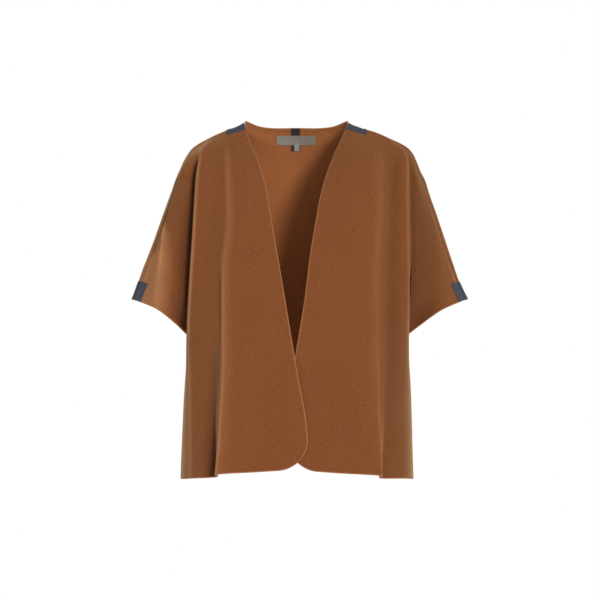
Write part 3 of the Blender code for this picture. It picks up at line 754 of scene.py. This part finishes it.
def cloth_coordinates(ring):
    """{(vertex, panel): (across, down)} in metres of flat cloth.

    Across is measured along each row, from the front edge on a front and from the middle on the
    back. Down is from the shoulder.
    """
    down = [0.0]
    for row in range(HEM):
        steps = [(ring.vert("right", row + 1, c).co - ring.vert("right", row, c).co).length
                 for c in (0, CHEST, RIDGE, BLADE, NECK)]
        down.append(down[-1] + sum(steps) / len(steps))
    found = {}

    def walk(side, row, columns, panel):
        verts = ring.along(side, row, columns)
        for vert, far in zip(verts, lengths_along([v.co for v in verts])):
            found[vert, panel] = (SIDES[side] * far, down[row])

    for side in SIDES:
        for row in range(HEM + 1):
            walk(side, row, range((OVERARM if row <= UNDERARM else SEAM) + 1), side)
            if row >= UNDERARM:
                walk(side, row, [*range(CENTRE, FOLD_BACK, -1), SEAM, SEAM - 1], "back")
            if row <= UNDERARM:
                last = OVERARM if row == 0 else OVERARM - FINE
                walk(side, row, range(CENTRE, last - 1, -1), "back")
        for row in range(1, SHOULDER_UNDER + 1):
            for c in range(OVERARM - FINE):
                over = found[ring.vert(side, 0, c), "back"][0]
                found[ring.vert(side, row, c), "back"] = (over, -down[row])
    return found


def finish(name, bm, material):
    """A smooth piece of one material from a mesh that is being built."""
    mesh = bpy.data.meshes.new(name)
    bm.to_mesh(mesh)
    bm.free()
    mesh.materials.append(material)
    mesh.shade_smooth()
    piece = bpy.data.objects.new(name, mesh)
    bpy.context.scene.collection.objects.link(piece)
    return piece


# ---------------------------------------------------------------- trimmings

def surface_tree(*pieces):
    """The pieces' faces, to lay other pieces on."""
    bm = bmesh.new()
    for piece in pieces:
        bm.from_mesh(piece.data)
    tree = BVHTree.FromBMesh(bm)
    bm.free()
    return tree


def laid(tree, p, n, lift):
    """The point on the tree's outer face under p, seen against n, lifted off it."""
    hit = tree.ray_cast(p + n * RAY_REACH, -n, 2 * RAY_REACH)[0]
    return (hit if hit is not None else p) + n * lift


def path_points(path, distances):
    """(point, normal) at distances along a path of ring vertices."""
    found = []
    for want in distances:
        k, left = 0, want
        while True:
            here, there = path[k], path[k + 1]
            step = (there.co - here.co).length
            if left <= step or k == len(path) - 2:
                share = left / step
                found.append((here.co.lerp(there.co, share), here.normal.lerp(there.normal, share)))
                break
            left -= step
            k += 1
    return found


def evenly(start, end, step):
    """Places from start to end, about one step apart."""
    count = max(1, round(abs(end - start) / step))
    return [start + (end - start) * k / count for k in range(count + 1)]


def seam_strip(spots, front, back):
    """Rows of (point, normal) across the seam at each spot, a pair of paths from the seam."""
    rows = []
    for ahead, behind in spots:
        over_front = path_points(ahead, evenly(front, 0, MM))
        over_back = path_points(behind, evenly(0, back, MM))[1:]
        rows.append([(p, n.normalized()) for p, n in over_front + over_back])
    return rows


def resampled(rows, length):
    """The rows again, one every millimetre along the strip's middle, up to a length."""
    middle = len(rows[0]) // 2
    lengths = lengths_along([row[middle][0] for row in rows])
    found = []
    k = 0
    for want in evenly(TAPE_START, length, MM):
        while k < len(lengths) - 2 and lengths[k + 1] < want:
            k += 1
        share = (want - lengths[k]) / (lengths[k + 1] - lengths[k])
        found.append([(a[0].lerp(b[0], share), a[1].lerp(b[1], share).normalized())
                      for a, b in zip(rows[k], rows[k + 1])])
    return found


def ribbon(name, rows, thickness, material, bevel=0.2 * MM):
    """A band of woven tape on a grid of (point, normal), rising along the normals."""
    bm = bmesh.new()
    uv = bm.loops.layers.uv.new("cloth")
    count_down, count_across = len(rows), len(rows[0])
    down = lengths_along([row[count_across // 2][0] for row in rows])
    across_at = lengths_along([p for p, _ in rows[count_down // 2]])
    low = [[bm.verts.new(p) for p, _ in row] for row in rows]
    high = [[bm.verts.new(p + n * thickness) for p, n in row] for row in rows]
    where = {}
    for grid in (low, high):
        for i, row in enumerate(grid):
            for k, vert in enumerate(row):
                where[vert] = (across_at[k], down[i])
    for i in range(count_down - 1):
        for k in range(count_across - 1):
            bm.faces.new((high[i][k], high[i][k + 1], high[i + 1][k + 1], high[i + 1][k]))
            bm.faces.new((low[i + 1][k], low[i + 1][k + 1], low[i][k + 1], low[i][k]))
    last_row, last = count_down - 1, count_across - 1
    rim = [(0, k) for k in range(last)] + [(i, last) for i in range(last_row)]
    rim += [(last_row, k) for k in range(last, 0, -1)] + [(i, 0) for i in range(last_row, 0, -1)]
    for a, b in zip(rim, rim[1:] + rim[:1]):
        bm.faces.new((high[b[0]][b[1]], high[a[0]][a[1]], low[a[0]][a[1]], low[b[0]][b[1]]))
    for face in bm.faces:
        for loop in face.loops:
            loop[uv].uv = where[loop.vert]
    bmesh.ops.recalc_face_normals(bm, faces=bm.faces[:])
    if bm.calc_volume(signed=True) < 0:
        bmesh.ops.reverse_faces(bm, faces=bm.faces[:])
    corner = [e for e in bm.edges if e.calc_face_angle(0) > SHARP]
    bmesh.ops.bevel(bm, geom=corner, offset=bevel, segments=2, profile=0.6, affect="EDGES",
                    clamp_overlap=True)
    return finish(name, bm, material)


def near(values, k, reach):
    """The values up to so many places away from place k."""
    return values[max(0, k - reach):k + reach + 1]


def tape_rows(tree, rows):
    """The rows laid on the cloth's outer face, bridging the step at a lapped seam."""
    found = []
    for row in rows:
        heights = [(laid(tree, p, n, TAPE_LIFT) - p).dot(n) for p, n in row]
        bridged = [max(near(heights, k, 2)) for k in range(len(row))]
        eased = [sum(near(bridged, k, 1)) / len(near(bridged, k, 1)) for k in range(len(row))]
        found.append([(p + n * max(high, low), n)
                      for (p, n), high, low in zip(row, eased, heights)])
    return found


def shoulder_tape(ring, tree, side, material):
    """A tape over the shoulder seam, from the neck point outwards, with its grid."""
    rows = range(2 * FINE)
    spots = [(ring.down(side, rows, c), ring.down(side, rows, 2 * OVERARM - c))
             for c in range(SEAM)]
    strip = seam_strip(spots, SHOULDER_TAPE_FRONT, SHOULDER_TAPE_BACK)
    grid = tape_rows(tree, resampled(strip, SHOULDER_TAPE_LONG))
    return ribbon(f"shoulder_tape_{side}_ribbon", grid, TAPE, material), grid


def cuff_tape(ring, tree, side, material):
    """A tape over the overarm seam, from the cuff upwards, with its grid."""
    ahead, behind = range(OVERARM, SLEEVE - 1, -1), range(OVERARM, SLEEVE_BACK + 1)
    spots = [(ring.along(side, row, ahead), ring.along(side, row, behind))
             for row in range(UNDERARM, UNDERARM - 5 * FINE, -1)]
    strip = seam_strip(spots, CUFF_TAPE_FRONT, CUFF_TAPE_BACK)
    grid = tape_rows(tree, resampled(strip, CUFF_TAPE_LONG))
    return ribbon(f"cuff_tape_{side}_ribbon", grid, TAPE, material), grid


def inside_rows(tree, x_ends, z_ends, lift, step=MM):
    """A grid on the back's inner face, lifted straight to the front."""
    forward = Vector((0, -1, 0))
    rows = []
    for z in evenly(z_ends[1], z_ends[0], step):
        row = []
        for x in evenly(*x_ends, step):
            point, normal = tree.ray_cast(Vector((x, 0, z)), Vector((0, 1, 0)))[:2]
            row.append((point + forward * lift / abs(normal.y), forward))
        rows.append(row)
    return rows


# ---------------------------------------------------------------- nodes

def socket(group, name, kind, value=None, output=False):
    """Gives a node group one more named input or output."""
    made = group.interface.new_socket(name, in_out="OUTPUT" if output else "INPUT",
                                      socket_type="NodeSocket" + kind)
    if value is not None:
        made.default_value = value


def feed(tree, into, value):
    """Links a socket to an input, or sets the input to a plain value."""
    if isinstance(value, bpy.types.NodeSocket):
        tree.links.new(value, into)
    else:
        into.default_value = value


def add_node(tree, kind, inputs=(), **settings):
    """A node with its settings, and with links or plain values given for its inputs."""
    node = tree.nodes.new(kind)
    for name, value in settings.items():
        setattr(node, name, value)
    for name, value in dict(inputs).items():
        feed(tree, node.inputs[name], value)
    return node


def group_ends(group):
    """What a node group is given, and what it gives back."""
    return group.nodes.new("NodeGroupInput").outputs, group.nodes.new("NodeGroupOutput").inputs


def mixed(tree, factor, a, b):
    """The colour between a and b, as a socket."""
    node = add_node(tree, "ShaderNodeMix", data_type="RGBA")
    for index, value in ((0, factor), (6, a), (7, b)):
        feed(tree, node.inputs[index], value)
    return node.outputs[2]


def maths(tree, operation, *values):
    """What a sum of the values gives, as a socket."""
    node = add_node(tree, "ShaderNodeMath", operation=operation)
    for index, value in enumerate(values):
        feed(tree, node.inputs[index], value)
    return node.outputs[0]


def ranged(tree, value, low, high, to_low=0.0, to_high=1.0, smooth=False):
    """The value carried over from one range to another, as a socket."""
    return add_node(tree, "ShaderNodeMapRange", {
        "Value": value, "From Min": low, "From Max": high, "To Min": to_low, "To Max": to_high,
    }, interpolation_type="SMOOTHSTEP" if smooth else "LINEAR").outputs["Result"]


def uneven(tree, vector, scale, detail=2.0, **more):
    """A mask of soft random patches, as a socket."""
    inputs = {"Vector": vector, "Scale": scale, "Detail": detail}
    inputs.update({name.capitalize(): value for name, value in more.items()})
    return add_node(tree, "ShaderNodeTexNoise", inputs).outputs["Fac"]


# ---------------------------------------------------------------- stitches

def stitch_tree():
    """Geometry nodes that lay a row of stitches along a line."""
    tree = bpy.data.node_groups.new("stitch row", "GeometryNodeTree")
    socket(tree, "Line", "Geometry")
    for name, value in LAP_STITCH.items():
        socket(tree, name.capitalize(), "Float", value)
    socket(tree, "Thread", "Material")
    socket(tree, "Stitches", "Geometry", output=True)
    given, result = group_ends(tree)
    curve = add_node(tree, "GeometryNodeMeshToCurve", {"Mesh": given["Line"]})
    points = add_node(tree, "GeometryNodeCurveToPoints", {
        "Curve": curve.outputs["Curve"], "Length": given["Pitch"]}, mode="LENGTH").outputs
    ball = add_node(tree, "GeometryNodeMeshUVSphere", {"Segments": 6, "Rings": 5, "Radius": 0.5})
    size = add_node(tree, "ShaderNodeCombineXYZ", {
        "X": given["Thickness"], "Y": given["Thickness"], "Z": given["Length"]})
    row = add_node(tree, "GeometryNodeInstanceOnPoints", {
        "Points": points["Points"], "Rotation": points["Rotation"],
        "Instance": ball.outputs["Mesh"], "Scale": size.outputs["Vector"]})
    real = add_node(tree, "GeometryNodeRealizeInstances", {"Geometry": row.outputs["Instances"]})
    smooth = add_node(tree, "GeometryNodeSetShadeSmooth", {"Geometry": real.outputs["Geometry"]})
    painted = add_node(tree, "GeometryNodeSetMaterial", {
        "Geometry": smooth.outputs["Geometry"], "Material": given["Thread"]})
    tree.links.new(painted.outputs["Geometry"], result["Stitches"])
    return tree


def stitches(name, lines, tree, thread, **sizes):
    """One mesh of stitches along the lines, each a list of points."""
    mesh = bpy.data.meshes.new(name + "_lines")
    points, edges = [], []
    for line in lines:
        edges += [(len(points) + k, len(points) + k + 1) for k in range(len(line) - 1)]
        points += line
    mesh.from_pydata(points, edges, [])
    rows = bpy.data.objects.new(name + "_lines", mesh)
    bpy.context.scene.collection.objects.link(rows)
    modifier = rows.modifiers.new("stitch row", "NODES")
    modifier.node_group = tree
    sockets = {item.name: item.identifier for item in tree.interface.items_tree}
    modifier[sockets["Thread"]] = thread
    for size, value in sizes.items():
        modifier[sockets[size.capitalize()]] = value
    graph = bpy.context.evaluated_depsgraph_get()
    made = bpy.data.meshes.new_from_object(rows.evaluated_get(graph))
    made.name = name
    bpy.data.objects.remove(rows)
    piece = bpy.data.objects.new(name, made)
    bpy.context.scene.collection.objects.link(piece)
    return piece


def frame_line(rows, inset, lift):
    """A closed line inside a strip's edges, on its upper face."""
    step = max(1, round(inset / MM))
    top, foot = step, len(rows) - 1 - step
    left, right = step, len(rows[0]) - 1 - step
    walk = [(top, k) for k in range(left, right)] + [(i, right) for i in range(top, foot)]
    walk += [(foot, k) for k in range(right, left, -1)] + [(i, left) for i in range(foot, top, -1)]
    line = [rows[i][k][0] + rows[i][k][1] * lift for i, k in walk]
    return line + line[:1]


def lap_lines(ring, tree):
    """The stitch lines along the lapped seams, on the fronts."""
    lines = []
    for side in SIDES:
        overarm = [ring.along(side, row, range(OVERARM, SLEEVE - 1, -1))
                   for row in range(2, UNDERARM + 1)]
        shoulder = [ring.down(side, range(2 * FINE), c) for c in range(1, OVERARM - FINE)]
        side_seam = [ring.along(side, row, range(SEAM, FOLD, -1))
                     for row in range(UNDERARM + 2, HEM + 1)]
        for paths in (overarm, shoulder, side_seam):
            spots = [path_points(path, [LAP_STITCH_IN])[0] for path in paths]
            lines.append([laid(tree, p, n.normalized(), STITCH_LIFT) for p, n in spots])
    return lines


# ---------------------------------------------------------------- materials

def nap_group():
    """Brushed nap: streaks, clumps of fibre and fine fuzz, as a mask and a height."""
    group = bpy.data.node_groups.new("brushed nap", "ShaderNodeTree")
    socket(group, "Vector", "Vector")
    for name, value in (("Streak length", 0.010), ("Streak width", 0.0022), ("Clump size", 0.0034),
                        ("Fibre size", 0.0013)):
        socket(group, name, "Float", value)
    socket(group, "Shade", "Float", output=True)
    socket(group, "Height", "Float", output=True)
    given, result = group_ends(group)
    parts = add_node(group, "ShaderNodeSeparateXYZ", {"Vector": given["Vector"]}).outputs
    along = maths(group, "DIVIDE", parts["X"], given["Streak length"])
    up = maths(group, "DIVIDE", parts["Y"], given["Streak width"])
    stretched = add_node(group, "ShaderNodeCombineXYZ", {"X": along, "Y": up}).outputs[0]
    streaks = uneven(group, stretched, 1.0, 3.0, roughness=0.6)
    clumps = uneven(group, given["Vector"], maths(group, "DIVIDE", 1.0, given["Clump size"]))
    fibres = uneven(group, given["Vector"], maths(group, "DIVIDE", 1.0, given["Fibre size"]), 3.0,
                    roughness=0.7, distortion=1.2)

    def shares(*pairs):
        """The masks added up, each by its own share."""
        total, *rest = [maths(group, "MULTIPLY", mask, share) for mask, share in pairs]
        for term in rest:
            total = maths(group, "ADD", total, term)
        return total

    group.links.new(shares((streaks, 0.3), (clumps, 0.4), (fibres, 0.3)), result["Shade"])
    group.links.new(shares((fibres, 0.6), (streaks, 0.4)), result["Height"])
    return group


def weave_group():
    """Woven bands: ribs across and fine threads along, as a mask and a height."""
    group = bpy.data.node_groups.new("woven ribs", "ShaderNodeTree")
    socket(group, "Vector", "Vector")
    for name, value in (("Rib pitch", 0.0011), ("Thread pitch", 0.0004), ("Thread share", 0.3)):
        socket(group, name, "Float", value)
    socket(group, "Shade", "Float", output=True)
    socket(group, "Height", "Float", output=True)
    given, result = group_ends(group)
    parts = add_node(group, "ShaderNodeSeparateXYZ", {"Vector": given["Vector"]}).outputs

    def waves(value, pitch):
        turns = maths(group, "MULTIPLY", maths(group, "DIVIDE", value, pitch), 2 * math.pi)
        return maths(group, "MULTIPLY_ADD", maths(group, "SINE", turns), 0.5, 0.5)

    ribs = waves(parts["Y"], given["Rib pitch"])
    threads = waves(parts["X"], given["Thread pitch"])
    wander = uneven(group, given["Vector"], 900.0)
    height = maths(group, "MULTIPLY_ADD", maths(group, "MULTIPLY", threads, ribs),
                   given["Thread share"], ribs)
    group.links.new(maths(group, "MULTIPLY_ADD", wander, 0.4, height), result["Height"])
    shade = maths(group, "MULTIPLY_ADD", wander, 0.4, maths(group, "MULTIPLY", ribs, 0.6))
    group.links.new(shade, result["Shade"])
    return group


def new_material(name, roughness, specular=0.25):
    """A plain material, with its node tree and shader."""
    made = bpy.data.materials.new(name)
    made.use_nodes = True
    shader = made.node_tree.nodes["Principled BSDF"]
    shader.inputs["Roughness"].default_value = roughness
    shader.inputs["Specular IOR Level"].default_value = specular
    return made, made.node_tree, shader


def bump(tree, shader, height, strength, distance):
    """Lets a height mask raise the surface finely."""
    raised = {"Height": height, "Strength": strength, "Distance": distance}
    tree.links.new(add_node(tree, "ShaderNodeBump", raised).outputs["Normal"],
                   shader.inputs["Normal"])


def fleece_material(nap):
    """Camel brown felted fleece, lighter along its raw cut edges, with painted highlights on its
    ridges, painted shade in its hollows, and painted lighter on its inside face.
    """
    made, tree, shader = new_material("camel felted fleece", 0.95, 0.12)
    for name, value in FLEECE_SHEEN.items():
        shader.inputs[name].default_value = value
    cloth = add_node(tree, "ShaderNodeUVMap", uv_map="cloth").outputs["UV"]
    where = tree.nodes.new("ShaderNodeTexCoord").outputs["Object"]
    brushed = add_node(tree, "ShaderNodeGroup", node_tree=nap)
    tree.links.new(cloth, brushed.inputs["Vector"])
    patches = uneven(tree, where, 11.0, 3.0, roughness=0.55)

    def painted(name):
        return add_node(tree, "ShaderNodeAttribute", attribute_name=name).outputs["Fac"]

    shade = ranged(tree, brushed.outputs["Shade"], 0.34, 0.66)
    colour = mixed(tree, shade, *FLEECE_OUTSIDE)
    colour = mixed(tree, ranged(tree, patches, 0.35, 0.65, 0.0, 0.2), colour, FLEECE_PATCH)
    # the inside face is painted lighter, as painted light
    colour = mixed(tree, painted("inside"), colour, mixed(tree, shade, *FLEECE_INSIDE_PAINTED_LIGHTER))
    painted_light_mask = painted("painted_light")
    # painted highlight on ridges and painted shade in hollows and crevices
    colour = mixed(tree, ranged(tree, painted_light_mask, 0.0, 1.0, 0.0, 0.9), colour, FLEECE_PAINTED_HIGHLIGHT)
    colour = mixed(tree, ranged(tree, painted_light_mask, 0.0, -1.0, 0.0, 0.85), colour, FLEECE_PAINTED_SHADE)
    cut = ranged(tree, painted("cut_edge"), *CUT_EDGE_FADE, 0.75, 0.0, smooth=True)
    colour = mixed(tree, cut, colour, FLEECE_CUT)
    tree.links.new(colour, shader.inputs["Base Color"])
    bump(tree, shader, brushed.outputs["Height"], 0.55, 0.5 * MM)
    return made


def woven_material(name, weave, colours, roughness, specular=0.25, **sizes):
    """Ribbed tape or satin, between a dark and a light colour."""
    made, tree, shader = new_material(name, roughness, specular)
    cloth = add_node(tree, "ShaderNodeUVMap", uv_map="cloth").outputs["UV"]
    woven = add_node(tree, "ShaderNodeGroup", node_tree=weave)
    tree.links.new(cloth, woven.inputs["Vector"])
    for size, value in sizes.items():
        woven.inputs[size.replace("_", " ").capitalize()].default_value = value
    tree.links.new(mixed(tree, woven.outputs["Shade"], *colours), shader.inputs["Base Color"])
    bump(tree, shader, woven.outputs["Height"], 0.6, 0.15 * MM)
    return made


def thread_material(name, colour, roughness=0.6):
    """Sewing thread, with a fine uneven twist."""
    made, tree, shader = new_material(name, roughness)
    where = tree.nodes.new("ShaderNodeTexCoord").outputs["Object"]
    twist = uneven(tree, where, 2500.0)
    dark = (*(0.7 * value for value in colour[:3]), 1)
    tree.links.new(mixed(tree, twist, dark, colour), shader.inputs["Base Color"])
    bump(tree, shader, twist, 0.5, 0.05 * MM)
    return made


# ---------------------------------------------------------------- setting

def camera():
    """Level and straight in front, as the photo was taken."""
    data = bpy.data.cameras.new("camera")
    data.sensor_width = 36
    data.lens = data.sensor_width * -VIEW_FROM[1] / VIEW_ACROSS
    made = bpy.data.objects.new("camera", data)
    made.location = VIEW_FROM
    made.rotation_euler = (math.radians(90), 0, 0)
    bpy.context.scene.collection.objects.link(made)
    bpy.context.scene.camera = made


def lamp(name, azimuth, elevation, strength, angle):
    """A soft distant light."""
    data = bpy.data.lights.new(name, "SUN")
    data.energy = strength
    data.angle = math.radians(angle)
    made = bpy.data.objects.new(name, data)
    made.rotation_euler = (math.radians(90 - elevation), 0, math.radians(azimuth))
    bpy.context.scene.collection.objects.link(made)


def sky():
    """White where it is seen, and a weaker warm white where it lights the vest."""
    world = bpy.data.worlds.new("studio")
    bpy.context.scene.world = world
    world.use_nodes = True
    tree = world.node_tree
    tree.nodes.clear()
    seen = add_node(tree, "ShaderNodeBackground", {"Color": SKY_SEEN, "Strength": 1.0})
    around = add_node(tree, "ShaderNodeBackground", {"Color": SKY_LIGHT, "Strength": SKY_STRENGTH})
    path = tree.nodes.new("ShaderNodeLightPath")
    pick = add_node(tree, "ShaderNodeMixShader", {0: path.outputs["Is Camera Ray"],
                                                  1: around.outputs[0], 2: seen.outputs[0]})
    add_node(tree, "ShaderNodeOutputWorld", {"Surface": pick.outputs[0]})


def setting():
    """The sky, the lights and a pale floor under the hem."""
    sky()
    for values in LAMPS:
        lamp(*values)
    bpy.context.scene.view_settings.view_transform = "Standard"
    bm = bmesh.new()
    bmesh.ops.create_circle(bm, cap_ends=True, segments=96, radius=FLOOR_RADIUS)
    bmesh.ops.translate(bm, verts=bm.verts[:], vec=(0, 0, FLOOR_UP))
    pale, _, shader = new_material("pale floor", 0.8)
    shader.inputs["Base Color"].default_value = (0.9, 0.9, 0.9, 1)
    finish("floor", bm, pale)


# ---------------------------------------------------------------- the vest

def declare(piece, node=None):
    """Says what the piece rides on, and the solid that it stands for, if any."""
    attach(piece, "root")
    if node:
        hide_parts(node)
    return piece


def sew_on(piece, node, rows, sewing, thread, inset=STITCH_IN, height=TAPE):
    """A trimming and the line of stitches inside its edges, both declared."""
    declare(piece, node)
    line = frame_line(rows, inset, height + STITCH_LIFT)
    sewn = stitches(piece.name + "_stitches", [line], sewing, thread, **TAPE_STITCH)
    return [piece, declare(sewn)]


def trimmings(ring, panels, sewing):
    """The tapes, the neck label and the size tab."""
    weave = weave_group()
    slate = woven_material("slate ribbed tape", weave, SLATE_TAPE, 0.6, 0.2)
    # the neck tape's copy of the slate tape, painted darker as shade
    slate_painted_shade = woven_material("dark slate ribbed tape", weave, SLATE_TAPE_PAINTED_SHADE, 0.7)
    satin = woven_material("grey satin label", weave, GREY_SATIN, 0.42, 0.5, rib_pitch=0.0007)
    white = woven_material("white satin tab", weave, WHITE_SATIN, 0.5, rib_pitch=0.0006)
    slate_thread = thread_material("slate thread", SLATE_THREAD)
    grey_thread = thread_material("grey thread", GREY_THREAD)
    outside = surface_tree(*panels.values())
    back = surface_tree(panels["back"])
    trims = []
    for side in SIDES:
        for make, kind in ((shoulder_tape, "shoulder_tape_"), (cuff_tape, "cuff_tape_")):
            piece, rows = make(ring, outside, side, slate)
            trims += sew_on(piece, kind + side, rows, sewing, slate_thread)
    rows = inside_rows(back, NECK_TAPE_X, NECK_TAPE_Z, NECK_TAPE_LIFT)
    piece = ribbon("neck_tape_ribbon", rows, TAPE, slate_painted_shade)
    trims += sew_on(piece, "neck_tape", rows, sewing, slate_thread)
    rows = inside_rows(back, LABEL_X, LABEL_Z, LABEL_LIFT)
    piece = ribbon("neck_label_satin", rows, LABEL, satin)
    trims += sew_on(piece, "neck_label", rows, sewing, grey_thread,
                    LABEL_STITCH_IN, LABEL)
    rows = inside_rows(back, SIZE_TAB_X, SIZE_TAB_Z, SIZE_TAB_LIFT, 0.5 * MM)
    tab = ribbon("size_tab_satin", rows, LABEL, white)
    return trims + [declare(tab, "size_tab")]


def main():
    camera()
    fleece = fleece_material(nap_group())
    camel_thread = thread_material("camel thread", CAMEL_THREAD)
    ring = Ring()
    seams = seam_tree(ring)
    grid = cloth_coordinates(ring)
    panels = {panel: shell(ring, panel, seams, grid, fleece) for panel in PANELS}
    sewing = stitch_tree()
    trims = trimmings(ring, panels, sewing)
    lines = lap_lines(ring, surface_tree(panels["right"], panels["left"]))
    seam_stitches = stitches("seam_stitches", lines, sewing, camel_thread, **LAP_STITCH)
    declare(seam_stitches)
    for panel, piece in panels.items():
        declare(piece, PANELS[panel])
    setting()


main()
